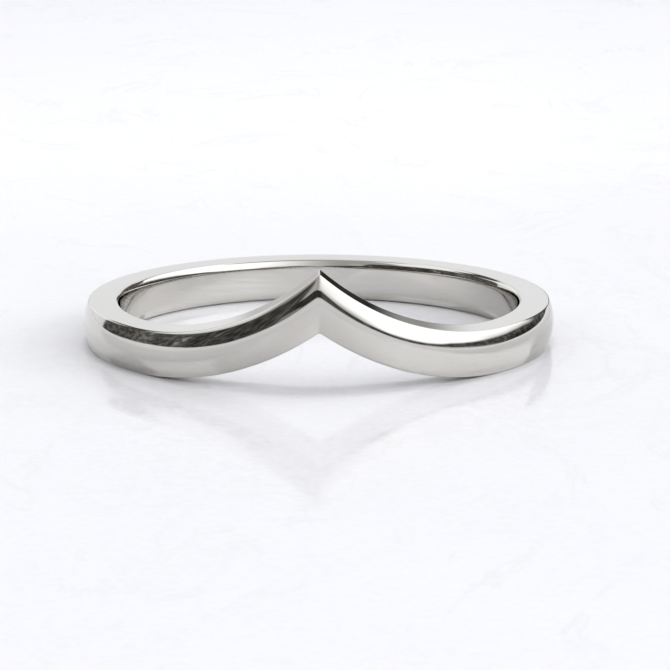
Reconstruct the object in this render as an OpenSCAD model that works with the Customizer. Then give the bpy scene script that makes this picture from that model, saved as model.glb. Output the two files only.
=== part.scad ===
// Chevron ring: a plain polished band whose front is raised into a pointed arch.
// It lies on its side: the finger hole runs along Z, the point is at -Y, and the band rests on Z = 0.

/* [Finger hole] */
// Diameter of the finger hole at its narrowest
finger_d = 17.3; // [16.5:0.1:22]
// Height of the straight land in the middle of the hole's wall
land_h = 1; // [0.8:0.05:1.2]
// How far the hole's wall opens from the land to each edge, for comfort
comfort_rise = 0.115; // [0.08:0.005:0.2]
// Radius that rounds the band's two edges on the finger's side
finger_edge_r = 0.19; // [0.12:0.01:0.24]

/* [Band] */
// Width of the band, measured across its run
band_w = 1.9; // [1.7:0.05:2.4]
// Thickness of the wall at its two edges, before they are rounded
edge_t = 1.235; // [0.9:0.005:2]
// How far the outside of the band is domed above its two edges
crown = 0.22; // [0.1:0.02:0.4]
// Radius that softens the band's two outer edges
edge_r = 0.07; // [0.04:0.01:0.12]

/* [Chevron] */
// Distance from the middle, seen from the front, at which each arm leaves the plain band
arm_x = 7.7; // [5.5:0.1:8]
// Radius of the hollow curve that the upper edge of each arm follows, seen from the front
arm_r = 11.6; // [11:0.1:16]

/* [Smoothness] */
// Angle between cross-sections round the plain back half, in degrees
back_step = 3; // [3, 5, 6]
// Angle between cross-sections round the front half, which holds the two arms, in degrees
front_step = 2; // [1.5, 2, 3]

/* [Hidden] */
metal = [0.80, 0.80, 0.79];

finger_r = finger_d / 2;
outer_edge_r = finger_r + comfort_rise + edge_t;
// Steps in an outer and an inner rounding, and along the dome and the two comfort slopes
edge_steps = 2;
finger_edge_steps = 3;
dome_steps = 8;
slope_steps = 2;
bore_fn = 180;

// The dome is one arc across the band, seen in cross-section, round this centre
dome_r = (pow(band_w / 2, 2) + pow(crown, 2)) / (2 * crown);
dome_centre = outer_edge_r + crown - dome_r;
// The outer roundings touch the dome at this lean from upright, and end level with the rims
dome_lean = asin((band_w / 2 - edge_r) / (dome_r - edge_r));
outer_corner_r = dome_centre + (dome_r - edge_r) * cos(dome_lean);

// Height of each comfort slope, between the land and the rim
slope_h = (band_w - land_h) / 2;
// Height past the land at a height v across the band, 0 at its lower edge
function past_land(v) = max(0, abs(v - band_w / 2) - land_h / 2);
// Radius of the hole's wall at a height v: straight on the land, then a gentle curve to each edge
function wall_at(v) = finger_r + comfort_rise * pow(past_land(v) / slope_h, 2);
// Lean of the hole's wall from upright at a height v
function lean_at(v) = atan(2 * comfort_rise * past_land(v) / pow(slope_h, 2));

// Height at which the upper inner rounding, level with the rim at its top, touches the slope
function touch(v, tries) =
    tries == 0 ? v : touch(band_w - finger_edge_r * (1 - sin(lean_at(v))), tries - 1);
touch_v = touch(band_w - finger_edge_r, 20);
touch_lean = lean_at(touch_v);
inner_corner_r = wall_at(touch_v) + finger_edge_r * cos(touch_lean);

// One step of a comfort slope, between its rounding and the land
step_v = (touch_v - (band_w + land_h) / 2) / slope_steps;
// The last step of each slope runs straight on under the land, to a point inside the finger hole,
// so that the hole's cutter leaves a true round land there
under_v = land_h / 4;
under_r = finger_r - (wall_at((band_w + land_h) / 2 + step_v) - finger_r) * under_v / step_v;
// Nearer the front than this angle, the land climbs with the arms and stands this little outside the cutter
climb_a = 41;
climb_r = finger_r + 0.01;

// Height of an arc of radius r that leaves the level at x = arm_x and climbs towards x = 0
function arm_rise(x, r) =
    let (inward = max(0, arm_x - abs(x)))
    r - sqrt(r * r - inward * inward);

// Points [r, v] along an arc round a centre, from one angle to another
function bow(centre, radius, from, to, steps) =
    [for (i = [0 : steps])
        let (a = from + (to - from) * i / steps)
        centre + radius * [cos(a), sin(a)]];

// The band's cross-section as [r, v], anticlockwise from the lower outer edge, with its land at a radius
function outline(land) = concat(
    bow([outer_corner_r, edge_r], edge_r, -90, -dome_lean, edge_steps),
    [for (i = [1 : dome_steps - 1])
        let (a = dome_lean * (2 * i / dome_steps - 1))
        [dome_centre + dome_r * cos(a), band_w / 2 + dome_r * sin(a)]],
    bow([outer_corner_r, band_w - edge_r], edge_r, dome_lean, 90, edge_steps),
    bow([inner_corner_r, band_w - finger_edge_r], finger_edge_r, 90, 180 - touch_lean, finger_edge_steps),
    [for (i = [1 : slope_steps - 1]) let (v = touch_v - step_v * i) [wall_at(v), v]],
    [[land, (band_w + land_h) / 2 - under_v], [land, (band_w - land_h) / 2 + under_v]],
    [for (i = [slope_steps - 1 : -1 : 1]) let (v = band_w - touch_v + step_v * i) [wall_at(v), v]],
    bow([inner_corner_r, finger_edge_r], finger_edge_r, 180 + touch_lean, 270, finger_edge_steps)
);

// Angles of the cross-sections, measured from the front
angles = concat(
    [for (a = [-90 : front_step : 90]) a],
    [for (a = [90 + back_step : back_step : 270 - back_step]) a]
);

// One point of the band: a cross-section's point [r, v] taken round to angle a. The lower and upper
// edges of an arm are arcs with one centre, so the band keeps its width across its run.
function on_band(a, p) =
    let (
        x = p[0] * sin(a),
        front = abs(a) < 90,
        low = front ? arm_rise(x, arm_r + band_w) : 0,
        high = band_w + (front ? arm_rise(x, arm_r) : 0)
    )
    [x, -p[0] * cos(a), low + (high - low) * p[1] / band_w];

// The whole band as one closed skin of triangles
module swept_band() {
    across = len(outline(climb_r));
    along = len(angles);
    points = [for (a = angles) for (p = outline(abs(a) < climb_a ? climb_r : under_r)) on_band(a, p)];
    faces = [for (i = [0 : along - 1]) for (j = [0 : across - 1])
        let (
            here = i * across,
            next = ((i + 1) % along) * across,
            up = (j + 1) % across
        )
        each [[here + j, here + up, next + up], [here + j, next + up, next + j]]];
    polyhedron(points, faces);
}

// The cutter that gives the finger hole its round land. Its seam is turned between two cross-sections.
module finger_hole() {
    rotate([0, 0, back_step / 2])
    translate([0, 0, -band_w])
    cylinder(r = finger_r, h = 3 * band_w, $fn = bore_fn);
}

module band() {
    color(metal)
    difference() {
        swept_band();
        finger_hole();
    }
}

band();
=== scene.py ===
"""Looks of a chevron ring: a plain polished band with a pointed front, lying on a pale glossy floor."""

import logging
import math
from dataclasses import dataclass, field
from enum import Enum
from typing import Any, Union

import bpy
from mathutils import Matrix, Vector


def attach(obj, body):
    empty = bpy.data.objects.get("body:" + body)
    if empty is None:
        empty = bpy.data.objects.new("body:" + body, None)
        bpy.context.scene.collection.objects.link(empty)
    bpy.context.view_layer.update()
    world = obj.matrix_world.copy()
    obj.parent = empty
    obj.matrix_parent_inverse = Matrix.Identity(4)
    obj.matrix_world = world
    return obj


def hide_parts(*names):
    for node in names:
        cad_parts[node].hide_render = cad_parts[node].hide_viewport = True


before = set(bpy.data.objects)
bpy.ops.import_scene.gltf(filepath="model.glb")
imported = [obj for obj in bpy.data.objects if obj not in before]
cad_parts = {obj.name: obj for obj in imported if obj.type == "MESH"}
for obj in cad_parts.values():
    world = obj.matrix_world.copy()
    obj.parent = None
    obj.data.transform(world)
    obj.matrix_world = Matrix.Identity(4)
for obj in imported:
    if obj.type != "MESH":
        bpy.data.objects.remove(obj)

LOG = logging.getLogger("chevron_ring")
MM = 0.001

# What a socket is given: a wire, a number or a colour
Link = Union["Wire", float, tuple]
# A broken line: places in rising order, each with its level
Line = tuple[tuple[float, float], ...]


class Zone(Enum):
    """The stretches of the band's cross-section."""

    DOME = "dome"
    OUTER_ROUNDING = "outer_rounding"
    RIM = "rim"
    INNER_ROUNDING = "inner_rounding"
    WALL = "wall"


class Sum(Enum):
    """The sums that a Math node is asked for."""

    ADD = "ADD"
    SUBTRACT = "SUBTRACT"
    MULTIPLY = "MULTIPLY"
    DIVIDE = "DIVIDE"
    POWER = "POWER"
    SQRT = "SQRT"
    SINE = "SINE"
    COSINE = "COSINE"
    ARCSINE = "ARCSINE"
    ARCTAN2 = "ARCTAN2"
    MAXIMUM = "MAXIMUM"
    LARGER = "GREATER_THAN"


class Board:
    """A node tree that nodes are laid out on."""

    def __init__(self, tree: bpy.types.NodeTree) -> None:
        """Empties the tree.

        Args:
            tree: The shader or geometry tree to fill.
        """
        self.tree = tree
        tree.nodes.clear()

    def node(self, kind: str, settings: dict[str, Any] | None = None, **sockets: Any) -> "Part":
        """Adds one node, with its settings made before its sockets are filled.

        Args:
            kind: The node's type.
            settings: The node's own properties; "stops" holds a ramp's places and colours.
            **sockets: Values or wires by socket name, with _ for a space, or by number as i0, i1.

        Returns:
            The node with its outputs at hand.
        """
        made = self.tree.nodes.new(kind)
        for name, value in (settings or {}).items():
            if name == "stops":
                self._ramp(made, value)
            else:
                setattr(made, name, value)
        for name, value in sockets.items():
            spoken = name.replace("_", " ")
            socket = made.inputs[int(name[1:])] if name[1:].isdigit() else made.inputs[spoken]
            self.fill(socket, value)
        return Part(self, made)

    @staticmethod
    def _ramp(made: bpy.types.Node, stops: list[tuple]) -> None:
        """Gives a ramp its stops.

        Args:
            made: The ramp node.
            stops: Places from 0 to 1, each with a grey or a colour.
        """
        ramp = made.color_ramp
        while len(ramp.elements) > 1:
            ramp.elements.remove(ramp.elements[-1])
        for number, (place, shade) in enumerate(stops):
            stop = ramp.elements[0] if number == 0 else ramp.elements.new(place)
            stop.position = place
            stop.color = (*shade, 1.0) if isinstance(shade, tuple) else (shade, shade, shade, 1.0)

    def fill(self, socket: bpy.types.NodeSocket, value: Any) -> None:
        """Sets a socket to a constant, or links a wire to it.

        Args:
            socket: The input socket.
            value: A wire or a constant.
        """
        if isinstance(value, Wire):
            self.tree.links.new(value.socket, socket)
        elif socket.type == "RGBA" and len(value) == 3:
            socket.default_value = (*value, 1.0)
        else:
            socket.default_value = value

    def sum(self, kind: Sum, *terms: Link) -> "Wire":
        """Adds one Math node.

        Args:
            kind: What it works out.
            *terms: Its one or two numbers or wires.

        Returns:
            The result.
        """
        made = self.node("ShaderNodeMath", {"operation": kind.value})
        for socket, term in zip(made.node.inputs, terms):
            self.fill(socket, term)
        return made.out()

    def blend(self, share: Link, low: Link, high: Link) -> "Wire":
        """Mixes two colours.

        Args:
            share: How much of the second colour is taken, 0 to 1.
            low: The first colour.
            high: The second colour.

        Returns:
            The mixed colour.
        """
        made = self.node("ShaderNodeMix", {"data_type": "RGBA"})
        inputs = made.node.inputs
        for socket, value in zip((inputs[0], inputs[6], inputs[7]), (share, low, high)):
            self.fill(socket, value)
        return Wire(self, made.node.outputs[2])

    def scale(self, colour: Link, times: Link) -> "Wire":
        """A colour made that many times as bright."""
        return self.node(
            "ShaderNodeVectorMath", {"operation": "SCALE"}, Vector=colour, Scale=times
        ).out()

    def noise(self, place: "Wire", size: float = 1.0, detail: float = 3.0, **sockets: float) -> "Wire":
        """Cloudy noise.

        Args:
            place: Where it is read.
            size: Size of its largest clouds, in the place's own units.
            detail: How many times finer clouds are laid over coarser ones.
            **sockets: The noise node's other sockets by name.

        Returns:
            A number between 0 and 1.
        """
        return self.node(
            "ShaderNodeTexNoise", Vector=place, Scale=1 / size, Detail=detail, **sockets
        ).out("Fac")

    def ease(self, value: "Wire", low: float, high: float) -> "Wire":
        """Climbs smoothly from 0 at low to 1 at high.

        Args:
            value: The running number.
            low: Where the climb starts.
            high: Where it ends, which may be below low.

        Returns:
            The eased number.
        """
        if low > high:
            return 1 - self.ease(value, high, low)
        settings = {"interpolation_type": "SMOOTHSTEP"}
        return self.node(
            "ShaderNodeMapRange", settings, Value=value, From_Min=low, From_Max=high
        ).out()

    def follow(self, value: "Wire", line: Line) -> "Wire":
        """Reads a broken line, which stays level beyond its two ends.

        Args:
            value: The running number.
            line: Places in rising order, each with the line's level there.

        Returns:
            The level at the running number.
        """
        first, span = line[0][0], line[-1][0] - line[0][0]
        lowest = min(level for _, level in line)
        rise = max(level for _, level in line) - lowest
        stops = [((place - first) / span, (level - lowest) / rise) for place, level in line]
        ramp = self.node("ShaderNodeValToRGB", {"stops": stops}, Fac=(value - first) / span)
        return self.node("ShaderNodeSeparateColor", Color=ramp.out()).out(0) * rise + lowest


class Part:
    """One node on a board."""

    def __init__(self, board: Board, node: bpy.types.Node) -> None:
        """Keeps the node with its board."""
        self.board = board
        self.node = node

    def out(self, name: str | int = 0) -> "Wire":
        """The output of that name or number."""
        return Wire(self.board, self.node.outputs[name])


class Wire:
    """An output socket that can be added, multiplied and so on, each adding a Math node."""

    def __init__(self, board: Board, socket: bpy.types.NodeSocket) -> None:
        """Keeps the socket with its board."""
        self.board = board
        self.socket = socket

    def __add__(self, other: Link) -> "Wire":
        """This plus other."""
        return self.board.sum(Sum.ADD, self, other)

    def __sub__(self, other: Link) -> "Wire":
        """This less other."""
        return self.board.sum(Sum.SUBTRACT, self, other)

    def __rsub__(self, other: Link) -> "Wire":
        """Other less this."""
        return self.board.sum(Sum.SUBTRACT, other, self)

    def __mul__(self, other: Link) -> "Wire":
        """This times other."""
        return self.board.sum(Sum.MULTIPLY, self, other)

    def __truediv__(self, other: Link) -> "Wire":
        """This over other."""
        return self.board.sum(Sum.DIVIDE, self, other)

    def __pow__(self, other: Link) -> "Wire":
        """This to the power of other."""
        return self.board.sum(Sum.POWER, self, other)

    def __neg__(self) -> "Wire":
        """This with its sign turned."""
        return self.board.sum(Sum.MULTIPLY, self, -1.0)

    def root(self) -> "Wire":
        """The square root of this."""
        return self.board.sum(Sum.SQRT, self)

    def over(self, least: Link) -> "Wire":
        """This, or least where that is more."""
        return self.board.sum(Sum.MAXIMUM, self, least)

    def beyond(self, limit: Link) -> "Wire":
        """1 where this is more than limit, otherwise 0."""
        return self.board.sum(Sum.LARGER, self, limit)

    __radd__ = __add__


@dataclass(frozen=True)
class PolishedMetal:
    """White metal with a mirror polish and the faint marks of the polishing wheel and of wear.

    The rounded edges and a few rubbed patches are worn: a share of the worn colour, and a little rougher.
    Rubbed patches are where a cloudy noise climbs from one level to another.
    """

    name: str = "polished_white_metal"
    colour: tuple[float, float, float] = (0.626, 0.607, 0.57)
    worn_colour: tuple[float, float, float] = (0.655, 0.636, 0.597)
    roughness: float = 0.035
    edge_roughness: float = 0.05
    rubbed_roughness: float = 0.015
    edge_wear: float = 0.6
    rubbed_wear: float = 0.4
    rubbed_size: float = 2.5 * MM
    rubbed_from: float = 0.5
    rubbed_full: float = 0.72
    wheel_pitch: float = 0.05 * MM
    wheel_run: float = 2 * MM
    wheel_depth: float = 0.00002 * MM
    ripple_size: float = 1.2 * MM
    ripple_depth: float = 0.0005 * MM

    def material(self) -> bpy.types.Material:
        """Makes the finish, which reads the attributes edge and girth of the band.

        Returns:
            The material.
        """
        made = bpy.data.materials.new(self.name)
        made.use_nodes = True
        board = Board(made.node_tree)
        place = board.node("ShaderNodeTexCoord").out("Object")
        edge = board.node("ShaderNodeAttribute", {"attribute_name": "edge"}).out("Fac")
        girth = board.node("ShaderNodeAttribute", {"attribute_name": "girth"}).out("Fac")
        split = board.node("ShaderNodeSeparateXYZ", Vector=place)
        # Wheel marks run along the band and are fine across it
        lay = board.node(
            "ShaderNodeCombineXYZ",
            X=split.out(0) * (1 / self.wheel_run),
            Y=split.out(1) * (1 / self.wheel_run),
            Z=girth * (1 / self.wheel_pitch),
        ).out()
        marks = board.noise(lay)
        ripple = board.noise(place, self.ripple_size, 1.0)
        clouds = board.noise(place, self.rubbed_size, 2.0, Roughness=0.6)
        rubbed = board.ease(clouds, self.rubbed_from, self.rubbed_full)
        height = marks * self.wheel_depth + ripple * self.ripple_depth
        bump = board.node("ShaderNodeBump", Strength=1.0, Distance=1.0, Height=height).out()
        wear = edge * self.edge_wear + rubbed * self.rubbed_wear
        colour = board.blend(wear, self.colour, self.worn_colour)
        duller = edge * (self.edge_roughness - self.roughness) + rubbed * self.rubbed_roughness
        roughness = self.roughness + duller
        shader = board.node(
            "ShaderNodeBsdfPrincipled",
            Base_Color=colour,
            Metallic=1.0,
            Roughness=roughness,
            Normal=bump,
        )
        board.node("ShaderNodeOutputMaterial", Surface=shader.out())
        return made


@dataclass(frozen=True)
class GlossyFloor:
    """A white slab with a thin gloss that fine cracks break up, and a few faint grey veins.

    Its colour grows paler from the inner to the outer distance from the middle. This is painted light, so
    the slab looks shaded round the ring. Its gloss grows duller over the same distances. Large patches of
    noise say where veins and cracks show and how glossy the slab is: each pair named after them is where the
    noise starts to count and where it counts in full, or the least gloss and what the noise adds.
    """

    name: str = "white_slab"
    colour: tuple[float, float, float] = (0.7, 0.697, 0.716)
    patch_size: float = 9 * MM
    vein_size: float = 9 * MM
    vein_width: float = 0.03
    vein_turn: float = 0.5
    vein_stretch: float = 0.45
    vein_patches: tuple[float, float] = (0.4, 0.65)
    vein_shade: float = 0.955
    crack_size: float = 1.2 * MM
    crack_width: float = 0.045
    crack_patches: tuple[float, float] = (0.7, 0.4)
    crack_shade: float = 0.962
    crack_dulling: float = 0.4
    gloss: float = 0.19
    gloss_roughness: float = 0.06
    patch_gloss: tuple[float, float] = (0.6, 0.8)
    grain_size: float = 0.4 * MM
    grain_depth: float = 0.0018 * MM
    grain_span: tuple[float, float] = (0.3, 0.7)
    grain_shade: float = 0.97
    # Painted light: where the slab starts and stops growing paler away from the ring, so it looks shaded
    # near the ring, and how much paler it grows; the same distances dull its gloss
    painted_light_and_dull_inner: float = 8 * MM
    painted_light_and_dull_outer: float = 60 * MM
    painted_light_rise: float = 0.065
    dull_share: float = 0.75

    def contours(self, board: Board, place: Wire, size: float, width: float) -> Wire:
        """Thin wandering lines over the slab.

        Args:
            board: The material's tree.
            place: Where on the slab.
            size: Distance between lines, roughly.
            width: Width of a line as a share of the noise that it follows.

        Returns:
            1 on a line and 0 away from it.
        """
        noise = board.noise(place, size, 5.0, Roughness=0.6, Distortion=1.2)
        return board.ease(noise, 0.5 - width, 0.5) * board.ease(noise, 0.5 + width, 0.5)

    def material(self) -> bpy.types.Material:
        """Makes the slab's finish.

        Returns:
            The material.
        """
        made = bpy.data.materials.new(self.name)
        made.use_nodes = True
        board = Board(made.node_tree)
        place = board.node("ShaderNodeTexCoord").out("Object")
        turn, stretch = (0.0, 0.0, self.vein_turn), (1.0, self.vein_stretch, 1.0)
        turned = board.node("ShaderNodeMapping", Vector=place, Rotation=turn, Scale=stretch).out()
        patches = board.noise(place, self.patch_size)
        grain = board.noise(place, self.grain_size, Roughness=0.6)
        veins = self.contours(board, turned, self.vein_size, self.vein_width)
        veins = veins * board.ease(patches, *self.vein_patches)
        cracks = self.contours(board, place, self.crack_size, self.crack_width)
        cracks = cracks * board.ease(patches, *self.crack_patches)
        tone = board.ease(grain, *self.grain_span) * (1 - self.grain_shade) + self.grain_shade
        tone = tone * (1 - veins * (1 - self.vein_shade)) * (1 + cracks * (self.crack_shade - 1))
        away = board.node("ShaderNodeVectorMath", {"operation": "LENGTH"}, i0=place).out("Value")
        # Painted light: the slab's colour grows paler away from the ring, so it looks shaded near it; the
        # same share also dulls the gloss
        pale = board.ease(away, self.painted_light_and_dull_inner, self.painted_light_and_dull_outer)
        colour = board.scale(self.colour, tone * (pale * self.painted_light_rise + 1))
        bump = board.node(
            "ShaderNodeBump", Strength=1.0, Distance=1.0, Height=(grain - cracks) * self.grain_depth
        ).out()
        body = board.node(
            "ShaderNodeBsdfPrincipled", Base_Color=colour, Roughness=1.0, Specular_IOR_Level=0.0
        )
        skin = board.node(
            "ShaderNodeBsdfPrincipled",
            Base_Color=(1.0, 1.0, 1.0),
            Metallic=1.0,
            Roughness=self.gloss_roughness,
            Normal=bump,
        )
        base, rise = self.patch_gloss
        gloss = (1 - cracks * self.crack_dulling) * (patches * rise + base)
        gloss = gloss * (1 - pale * self.dull_share) * self.gloss
        shader = board.node("ShaderNodeMixShader", i0=gloss, i1=body.out(), i2=skin.out())
        board.node("ShaderNodeOutputMaterial", Surface=shader.out())
        return made


@dataclass
class Band:
    """The ring itself: one cross-section taken round the finger and raised into two arms at the front.

    The cross-section is repeated at stations round the finger, which the gather crowds towards the front.
    The crease is how far from the middle the fold at the point is rounded off: at the band's two edges, and
    worn, half way between them.
    """

    finger_r: float = 8.65 * MM
    land: float = 1.0 * MM
    comfort_rise: float = 0.115 * MM
    width: float = 1.9 * MM
    edge_thickness: float = 1.235 * MM
    crown: float = 0.22 * MM
    edge_r: float = 0.07 * MM
    finger_edge_r: float = 0.19 * MM
    arm_reach: float = 7.7 * MM
    arm_r: float = 11.6 * MM
    crease: float = 0.05 * MM
    worn_crease: float = 0.1 * MM
    stations: int = 720
    gather: float = 0.8
    dome_steps: int = 20
    outer_steps: int = 10
    inner_steps: int = 14
    wall_steps: int = 16
    tries: int = 30
    rim_places: tuple[float, ...] = (0.02, 0.2, 0.5, 0.8, 0.98)
    finish: PolishedMetal = field(default_factory=PolishedMetal)

    def wall(self, height: float) -> tuple[float, float]:
        """The hole's wall at a height: straight in the middle, and opening in a curve towards each edge.

        Args:
            height: Height across the band.

        Returns:
            Its radius and its lean from upright in radians.
        """
        slope = (self.width - self.land) / 2
        past = max(0.0, abs(height - self.width / 2) - self.land / 2)
        lean = math.atan(2 * self.comfort_rise * past / slope**2)
        return self.finger_r + self.comfort_rise * (past / slope) ** 2, lean

    def half_section(self) -> list[tuple[float, float, Zone]]:
        """Points of the cross-section's upper half, from the dome's crest over the rim to the hole's wall.

        Returns:
            Radius, height and zone of each point.
        """
        middle, width = self.width / 2, self.width
        arc = (middle**2 + self.crown**2) / (2 * self.crown)
        dome_centre = self.finger_r + self.comfort_rise + self.edge_thickness + self.crown - arc
        # The outer rounding touches the dome at this lean and ends level with the rim
        lean = math.asin((middle - self.edge_r) / (arc - self.edge_r))
        outer = dome_centre + (arc - self.edge_r) * math.cos(lean)
        points = []
        for step in range(self.dome_steps):
            turn = lean * step / self.dome_steps
            points.append((dome_centre + arc * math.cos(turn), middle + arc * math.sin(turn), Zone.DOME))
        for step in range(self.outer_steps + 1):
            turn = lean + (math.pi / 2 - lean) * step / self.outer_steps
            high = width - self.edge_r + self.edge_r * math.sin(turn)
            points.append((outer + self.edge_r * math.cos(turn), high, Zone.OUTER_ROUNDING))
        # The inner rounding ends level with the rim and touches the wall at this height
        foot = width - self.finger_edge_r
        for _ in range(self.tries):
            foot = width - self.finger_edge_r * (1 - math.sin(self.wall(foot)[1]))
        radius, tilt = self.wall(foot)
        inner = radius + self.finger_edge_r * math.cos(tilt)
        for share in self.rim_places:
            points.append((outer + (inner - outer) * share, width, Zone.RIM))
        for step in range(self.inner_steps + 1):
            turn = math.pi / 2 + (math.pi / 2 - tilt) * step / self.inner_steps
            high = width - self.finger_edge_r + self.finger_edge_r * math.sin(turn)
            points.append((inner + self.finger_edge_r * math.cos(turn), high, Zone.INNER_ROUNDING))
        for step in range(1, self.wall_steps + 1):
            height = foot - (foot - middle) * step / self.wall_steps
            points.append((self.wall(height)[0], height, Zone.WALL))
        return points

    def section(self) -> list[tuple[float, float, Zone]]:
        """Closes the cross-section to a loop that starts in the middle of the lower rim.

        Returns:
            Radius, height and zone of each point.
        """
        upper = self.half_section()
        lower = [(r, self.width - h, zone) for r, h, zone in upper[1:-1]][::-1]
        loop = upper + lower
        rim = next(i for i, (_, h, zone) in enumerate(loop) if zone is Zone.RIM and h < self.width / 2)
        start = rim + len(self.rim_places) // 2
        return loop[start:] + loop[:start]

    def section_mesh(self) -> bpy.types.Mesh:
        """Makes the cross-section a loop of edges, with the attributes edge and girth on its points.

        Returns:
            The mesh, which has no faces.
        """
        points = self.section()
        mesh = bpy.data.meshes.new("band_section")
        corners = [(r, h, 0.0) for r, h, _ in points]
        count = len(corners)
        mesh.from_pydata(corners, [(i, (i + 1) % count) for i in range(count)], [])
        rounded = (Zone.OUTER_ROUNDING, Zone.INNER_ROUNDING)
        edge = mesh.attributes.new("edge", "FLOAT", "POINT")
        edge.data.foreach_set("value", [1.0 if zone in rounded else 0.0 for _, _, zone in points])
        run = [0.0]
        for (r0, h0, _), (r1, h1, _) in zip(points, points[1:]):
            run.append(run[-1] + math.hypot(r1 - r0, h1 - h0))
        girth = mesh.attributes.new("girth", "FLOAT", "POINT")
        girth.data.foreach_set("value", run)
        return mesh

    def inputs(self, metal: bpy.types.Material) -> dict[str, tuple[str, Any]]:
        """Lists what the sweep is given.

        Args:
            metal: The material of the band.

        Returns:
            Each input's name with its socket type and value.
        """
        return {
            "Stations": ("NodeSocketInt", self.stations),
            "Front Gather": ("NodeSocketFloat", self.gather),
            "Band Width": ("NodeSocketFloat", self.width),
            "Arm Reach": ("NodeSocketFloat", self.arm_reach),
            "Arm Radius": ("NodeSocketFloat", self.arm_r),
            "Crease Softness": ("NodeSocketFloat", self.crease),
            "Crease Wear": ("NodeSocketFloat", self.worn_crease - self.crease),
            "Metal": ("NodeSocketMaterial", metal),
        }

    def sweep_tree(self, metal: bpy.types.Material) -> bpy.types.NodeTree:
        """Builds the tree that takes the cross-section round the finger and raises the front.

        Args:
            metal: The material of the band.

        Returns:
            The geometry tree.
        """
        tree = bpy.data.node_groups.new("chevron_sweep", "GeometryNodeTree")
        board = Board(tree)
        face = tree.interface
        face.new_socket("Section", in_out="INPUT", socket_type="NodeSocketGeometry")
        for name, (kind, _) in self.inputs(metal).items():
            face.new_socket(name, in_out="INPUT", socket_type=kind)
        face.new_socket("Band", in_out="OUTPUT", socket_type="NodeSocketGeometry")
        given = board.node("NodeGroupInput")
        profile = board.node("GeometryNodeMeshToCurve", Mesh=given.out("Section"))
        spot = self._kept(board, profile.out(), "VECTOR", board.node("GeometryNodeInputPosition").out())
        circle = board.node("GeometryNodeCurvePrimitiveCircle", Resolution=given.out("Stations"))
        station = self._kept(board, circle.out(), "FLOAT", board.node("GeometryNodeInputIndex").out())
        skin = board.node("GeometryNodeCurveToMesh", Curve=station.out(0), Profile_Curve=spot.out(0))
        even = station.out(1) * math.tau / given.out("Stations")
        turn = even - board.sum(Sum.SINE, even) * given.out("Front Gather")
        across = board.node("ShaderNodeSeparateXYZ", Vector=spot.out(1))
        radius, height = across.out(0), across.out(1)
        x = radius * board.sum(Sum.SINE, turn)
        y = -(radius * board.sum(Sum.COSINE, turn))
        # Only the half towards the camera climbs
        near = (-y).beyond(0.0)
        # The fold at the point is worn rounder half way up the band than at its two edges
        from_edge = 1 - (height * 2 / given.out("Band Width") - 1) ** 2
        crease = from_edge * given.out("Crease Wear") + given.out("Crease Softness")
        off_middle = (x * x + crease * crease).root()
        inward = (given.out("Arm Reach") - off_middle).over(0.0)
        upper_r = given.out("Arm Radius")
        lower_r = upper_r + given.out("Band Width")
        low = (lower_r - (lower_r**2 - inward**2).root()) * near
        high = (upper_r - (upper_r**2 - inward**2).root()) * near + given.out("Band Width")
        z = low + (high - low) * height / given.out("Band Width")
        where = board.node("ShaderNodeCombineXYZ", X=x, Y=y, Z=z).out()
        moved = board.node("GeometryNodeSetPosition", Geometry=skin.out(), Position=where)
        smooth = board.node("GeometryNodeSetShadeSmooth", Geometry=moved.out())
        whole = board.node("GeometryNodeRealizeInstances", Geometry=smooth.out())
        dressed = board.node("GeometryNodeSetMaterial", Geometry=whole.out(), Material=given.out("Metal"))
        board.node("NodeGroupOutput", Band=dressed.out())
        return tree

    @staticmethod
    def _kept(board: Board, geometry: Wire, kind: str, value: Wire) -> Part:
        """Keeps a field's value on the points of a geometry.

        Args:
            board: The tree.
            geometry: The geometry that carries it.
            kind: The value's type.
            value: The field.

        Returns:
            The node, whose outputs are the geometry and the kept value.
        """
        made = board.tree.nodes.new("GeometryNodeCaptureAttribute")
        made.capture_items.new(kind, "Kept")
        made.domain = "POINT"
        board.fill(made.inputs["Geometry"], geometry)
        board.fill(made.inputs[1], value)
        return Part(board, made)

    def build(self) -> bpy.types.Object:
        """Makes the band as one closed mesh.

        Returns:
            The finished object, which stands at the origin.
        """
        metal = self.finish.material()
        seed = bpy.data.objects.new("band_seed", self.section_mesh())
        bpy.context.scene.collection.objects.link(seed)
        tree = self.sweep_tree(metal)
        sweep = seed.modifiers.new("sweep", "NODES")
        sweep.node_group = tree
        values = self.inputs(metal)
        for item in tree.interface.items_tree:
            if item.in_out == "INPUT" and item.name in values:
                sweep[item.identifier] = values[item.name][1]
        graph = bpy.context.evaluated_depsgraph_get()
        mesh = bpy.data.meshes.new_from_object(seed.evaluated_get(graph))
        seed.modifiers.remove(sweep)
        bpy.data.objects.remove(seed)
        mesh.name = "ring_band"
        piece = bpy.data.objects.new("ring_band", mesh)
        bpy.context.scene.collection.objects.link(piece)
        return piece


def towards(bearing: float, height: float) -> Vector:
    """Finds the direction that a bearing and a height give.

    Args:
        bearing: Degrees round the ring, 0 towards the camera and positive to its right.
        height: Degrees above the horizon.

    Returns:
        A vector one unit long.
    """
    turn, lift = math.radians(bearing), math.radians(height)
    away = math.cos(lift)
    return Vector((math.sin(turn) * away, -math.cos(turn) * away, math.sin(lift)))


@dataclass(frozen=True)
class Pane:
    """A softbox, a card or a gap of the studio, with soft sides and an uneven top and foot.

    Bearings are in degrees, 0 towards the camera and positive to its right; heights are degrees above the
    horizon. The slant is how far the right side moves for each degree of height.
    """

    name: str
    left: float
    right: float
    top: float | Line
    foot: float | Line
    light: float
    soft: tuple[float, float, float] = (2.0, 2.0, 1.2)
    slant: float = 0.0


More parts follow.
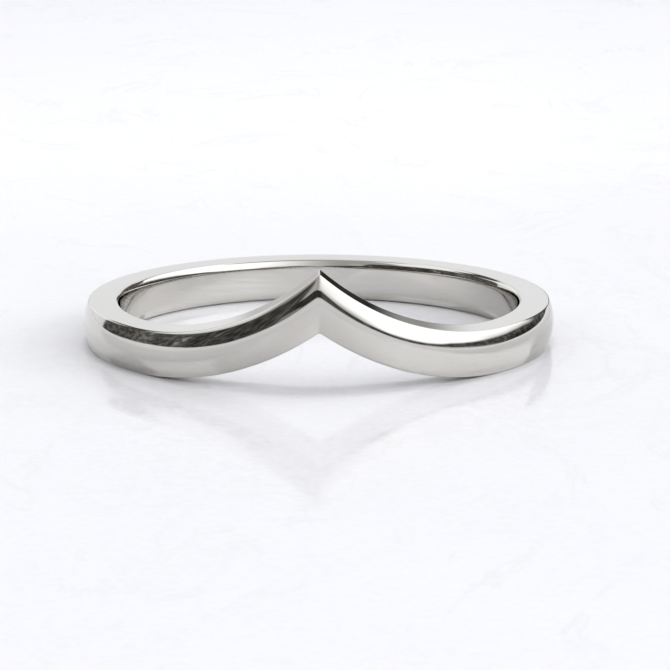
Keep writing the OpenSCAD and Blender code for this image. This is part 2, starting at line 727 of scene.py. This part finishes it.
@dataclass(frozen=True)
class Lamp:
    """A round lamp at a bearing and a height in degrees, with its size and its power in watts."""

    name: str
    bearing: float
    height: float
    size: float
    power: float

    def hang(self, distance: float) -> None:
        """Hangs the lamp. It lights the floor, and the metal doesn't mirror it.

        Args:
            distance: How far from the ring it hangs.
        """
        back = towards(self.bearing, self.height)
        data = bpy.data.lights.new(self.name, "AREA")
        data.shape = "DISK"
        data.size = self.size
        data.energy = self.power
        hung = bpy.data.objects.new(self.name, data)
        bpy.context.scene.collection.objects.link(hung)
        hung.location = back * distance
        hung.rotation_mode = "QUATERNION"
        hung.rotation_quaternion = (-back).to_track_quat("-Z", "Y")
        hung.visible_glossy = False
        hung.visible_camera = False


@dataclass
class Studio:
    """The floor, the surroundings, the lamps and the camera."""

    camera_distance: float = 123.53 * MM
    camera_elevation: float = 12.16
    camera_azimuth: float = -0.425
    target: tuple[float, float, float] = (0.701 * MM, 0.0, 0.172 * MM)
    lens: float = 151.85
    sensor: float = 36.0
    camera_reach: tuple[float, float] = (0.005, 10.0)
    floor_r: float = 1.6
    floor_gap: float = 0.002 * MM
    floor_corners: int = 96
    lamp_distance: float = 300 * MM
    lamps: tuple[Lamp, ...] = (
        Lamp("over_lamp", 180, 80, 80 * MM, 0.19),
        Lamp("right_lamp", 105, 24, 140 * MM, 0.25),
        Lamp("left_lamp", -100, 24, 140 * MM, 0.13),
    )
    backdrop: float = 1.07
    # The whole is uneven: the size of its clouds, and the least brightness with what the clouds add
    haze_size: float = 1 / 9
    haze: tuple[float, float] = (0.84, 0.2)
    # Panes darker than this are cluttered: noise for each degree along and up, where it starts and is full,
    # and its darkest and lightest as shares of the pane's light
    cluttered: float = 0.25
    clutter_run: tuple[float, float] = (0.4, 0.22)
    clutter_span: tuple[float, float] = (0.38, 0.68)
    clutter_shades: tuple[float, float] = (0.6, 1.9)
    warm: tuple[float, float, float] = (1.03, 0.995, 0.95)
    cool: tuple[float, float, float] = (0.986, 0.998, 1.028)
    # Heights in degrees, each with the brightness there
    ceiling: Line = ((0, 1.05), (25, 1.05), (35, 0.75), (62, 0.72), (69, 0.6))
    # Name, left, right, top, foot, light, the softness of left side, right side and heights, and the slant
    panes: tuple[Pane, ...] = (
        Pane("left_softbox", -152, -52, 63, 28, 1.4, (8, 6, 4)),
        Pane("left_back_card", -163, -128, 24, 8, 1.32, (3, 1.5, 2)),
        Pane("back_light_right", 135, 200, 72, 36, 1.3, (10, 1, 5)),
        Pane("back_light_left", -200, -155, 72, 36, 1.3, (1, 6, 5)),
        Pane("front_gap", -50, 30, 75, 10, 0.52, (4, 5, 2)),
        Pane("window", 14, 152, 62, 4.5, 1.85, (31, 24, 4)),
        Pane("window_foot", -5, 34, 10.5, -2, 0.84, (8, 8, 3.5)),
        Pane("window_dim_end", 89, 130, 13.5, -2, 1.0, (8, 4, 4)),
        Pane("thin_card", -25.5, -19, 24, 9, 0.62, (1.5, 2, 1)),
        Pane(
            "dark_front_left",
            -129,
            -20.5,
            (
                (-131, 7.5),
                (-125, 11),
                (-118, 14),
                (-112, 17),
                (-108, 19.5),
                (-103, 21.2),
                (-90, 22.2),
                (-75, 22.5),
                (-60, 22.8),
                (-45, 23.4),
            ),
            ((-130, -0.9), (-120, -0.5), (-100, 2), (-90, 3), (-70, 2.7), (-60, 1.5), (-50, 0.6)),
            0.1,
            (1.5, 1.5, 0.8),
            -0.45,
        ),
        Pane("left_fold", -101, -91, 21, 3, 0.17, (2, 2, 1)),
        Pane("left_slit", -77.5, -73, 17, 6, 0.22, (1, 1, 3)),
        Pane("dark_card_left", -70.5, -33, 22, 2, 0.062, (2, 3, 1)),
        Pane("thin_fold", -61.5, -58.5, 20, 4, 0.11, (1, 1, 2)),
        Pane(
            "dark_bar_left",
            -163,
            -100,
            41,
            ((-163, 28.5), (-146, 27.5), (-134, 24), (-112, 20)),
            0.08,
            (1.5, 2, 2),
        ),
        Pane("low_front_grey", -28, 2, 6, 0.8, 0.3, (1.5, 4, 0.6)),
        Pane(
            "low_front_dark",
            -28,
            14,
            ((-25, 11.6), (-20, 11.8), (-17, 11), (0, 9.4), (10, 9)),
            ((-27, 5.7), (-24, 5.2), (-21, 4.5), (-18, 2.5), (-12, 1.5), (0, 0)),
            0.04,
            (1.5, 2, 0.6),
        ),
        Pane(
            "dark_front_right",
            10,
            143,
            (
                (10, 9.8),
                (17, 8.5),
                (22, 6.6),
                (30, 5.1),
                (40, 4.2),
                (50, 4.5),
                (58, 4.9),
                (65, 6.4),
                (70, 8.5),
                (80, 9.6),
                (90, 10.2),
                (110, 10.2),
                (120, 9.2),
                (130, 6.2),
                (140, 2),
            ),
            ((10, 0.3), (20, -0.5), (40, -0.8), (50, -0.2), (60, 1.2), (75, 2), (90, 0.8), (110, -1.5)),
            0.09,
            (2, 3, 1.7),
        ),
        Pane("darker_right", 106, 132, 5, -2, 0.04, (5, 5, 2)),
        Pane("dark_post_right", 128, 154, ((120, 11), (126, 16), (132, 22), (150, 38)), -2, 0.1, (5, 2, 1)),
        Pane("grey_back_right", 152, 163, 27, -2, 0.16, (2, 3, 1.5)),
        Pane("grey_far_right", 158, 175, 9.9, -2, 0.36, (3, 3, 1.5)),
        Pane("dark_far_right", 158, 172, 6.2, -2, 0.035, (3, 2, 1.3)),
        Pane("grey_back_left", -177, -160, 7, -2, 0.68, (3, 3, 1)),
    )
    slab: GlossyFloor = field(default_factory=GlossyFloor)

    def build_floor(self) -> None:
        """Lays the floor as a disc just under the ring, so that no faces coincide."""
        mesh = bpy.data.meshes.new("floor")
        rim = [math.tau * i / self.floor_corners for i in range(self.floor_corners)]
        mesh.from_pydata(
            [(self.floor_r * math.cos(a), self.floor_r * math.sin(a), -self.floor_gap) for a in rim],
            [],
            [range(self.floor_corners)],
        )
        floor = bpy.data.objects.new("floor", mesh)
        bpy.context.scene.collection.objects.link(floor)
        mesh.materials.append(self.slab.material())

    def shade(self, light: float) -> tuple[float, ...]:
        """The colour of a thing of that brightness: warm in the dark and cool in the light."""
        share = min(1.0, light)
        return tuple(light * (w + (c - w) * share) for w, c in zip(self.warm, self.cool))

    def build_surroundings(self) -> None:
        """Paints the studio round the ring: a pale ceiling, lit softboxes and a few dark cards."""
        world = bpy.data.worlds.new("studio")
        bpy.context.scene.world = world
        world.use_nodes = True
        board = Board(world.node_tree)
        way = board.node("ShaderNodeTexCoord").out("Generated")
        split = board.node("ShaderNodeSeparateXYZ", Vector=way)
        bearing = board.sum(Sum.ARCTAN2, split.out(0), -split.out(1)) * (180 / math.pi)
        height = board.sum(Sum.ARCSINE, split.out(2)) * (180 / math.pi)
        along, up = self.clutter_run
        spread = board.node("ShaderNodeCombineXYZ", X=bearing * along, Y=height * up).out()
        speckle = board.ease(board.noise(spread), *self.clutter_span)
        colour = board.scale(self.shade(1.0), board.follow(height, self.ceiling))
        for pane in self.panes:
            left, right, rise = pane.soft
            top = board.follow(bearing, pane.top) if isinstance(pane.top, tuple) else pane.top
            foot = board.follow(bearing, pane.foot) if isinstance(pane.foot, tuple) else pane.foot
            side = bearing - height * pane.slant if pane.slant else bearing
            share = board.ease(bearing, pane.left - left, pane.left + left)
            share = share * board.ease(side, pane.right + right, pane.right - right)
            share = share * board.ease(height - top, rise, -rise) * board.ease(height - foot, -rise, rise)
            shade: Link = self.shade(pane.light)
            if pane.light < self.cluttered:
                darker, lighter = (self.shade(pane.light * times) for times in self.clutter_shades)
                shade = board.blend(speckle, darker, lighter)
            colour = board.blend(share, colour, shade)
            colour.socket.node.label = pane.name
        seen = board.node("ShaderNodeLightPath").out("Is Camera Ray")
        shown = board.blend(seen, colour, self.shade(self.backdrop))
        base, rise = self.haze
        strength = board.noise(way, self.haze_size) * rise + base
        light = board.node("ShaderNodeBackground", Color=shown, Strength=strength)
        board.node("ShaderNodeOutputWorld", Surface=light.out())

    def build_lamps(self) -> None:
        """Hangs the lamps that shade the floor."""
        for lamp in self.lamps:
            lamp.hang(self.lamp_distance)

    def build_camera(self) -> None:
        """Sets up the camera at the photograph's viewing angle."""
        back = towards(self.camera_azimuth, self.camera_elevation)
        data = bpy.data.cameras.new("camera")
        data.lens = self.lens
        data.sensor_width = self.sensor
        data.clip_start, data.clip_end = self.camera_reach
        camera = bpy.data.objects.new("camera", data)
        bpy.context.scene.collection.objects.link(camera)
        camera.location = Vector(self.target) + back * self.camera_distance
        camera.rotation_mode = "QUATERNION"
        camera.rotation_quaternion = (-back).to_track_quat("-Z", "Y")
        bpy.context.scene.camera = camera

    @staticmethod
    def settle_picture() -> None:
        """Shows light as it falls, with no film look."""
        scene = bpy.context.scene
        scene.view_settings.view_transform = "Standard"
        scene.view_settings.look = "None"


def main() -> None:
    """Builds the ring and its studio in order."""
    logging.basicConfig(level=logging.INFO, format="%(message)s")
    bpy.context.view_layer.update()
    studio = Studio()
    studio.settle_picture()
    studio.build_camera()
    studio.build_floor()
    studio.build_surroundings()
    studio.build_lamps()
    LOG.info("studio: camera, floor, surroundings and lamps")
    band = Band().build()
    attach(band, "root")
    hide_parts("band")
    LOG.info("%s: %d faces", band.name, len(band.data.polygons))


if __name__ == "__main__":
    main()
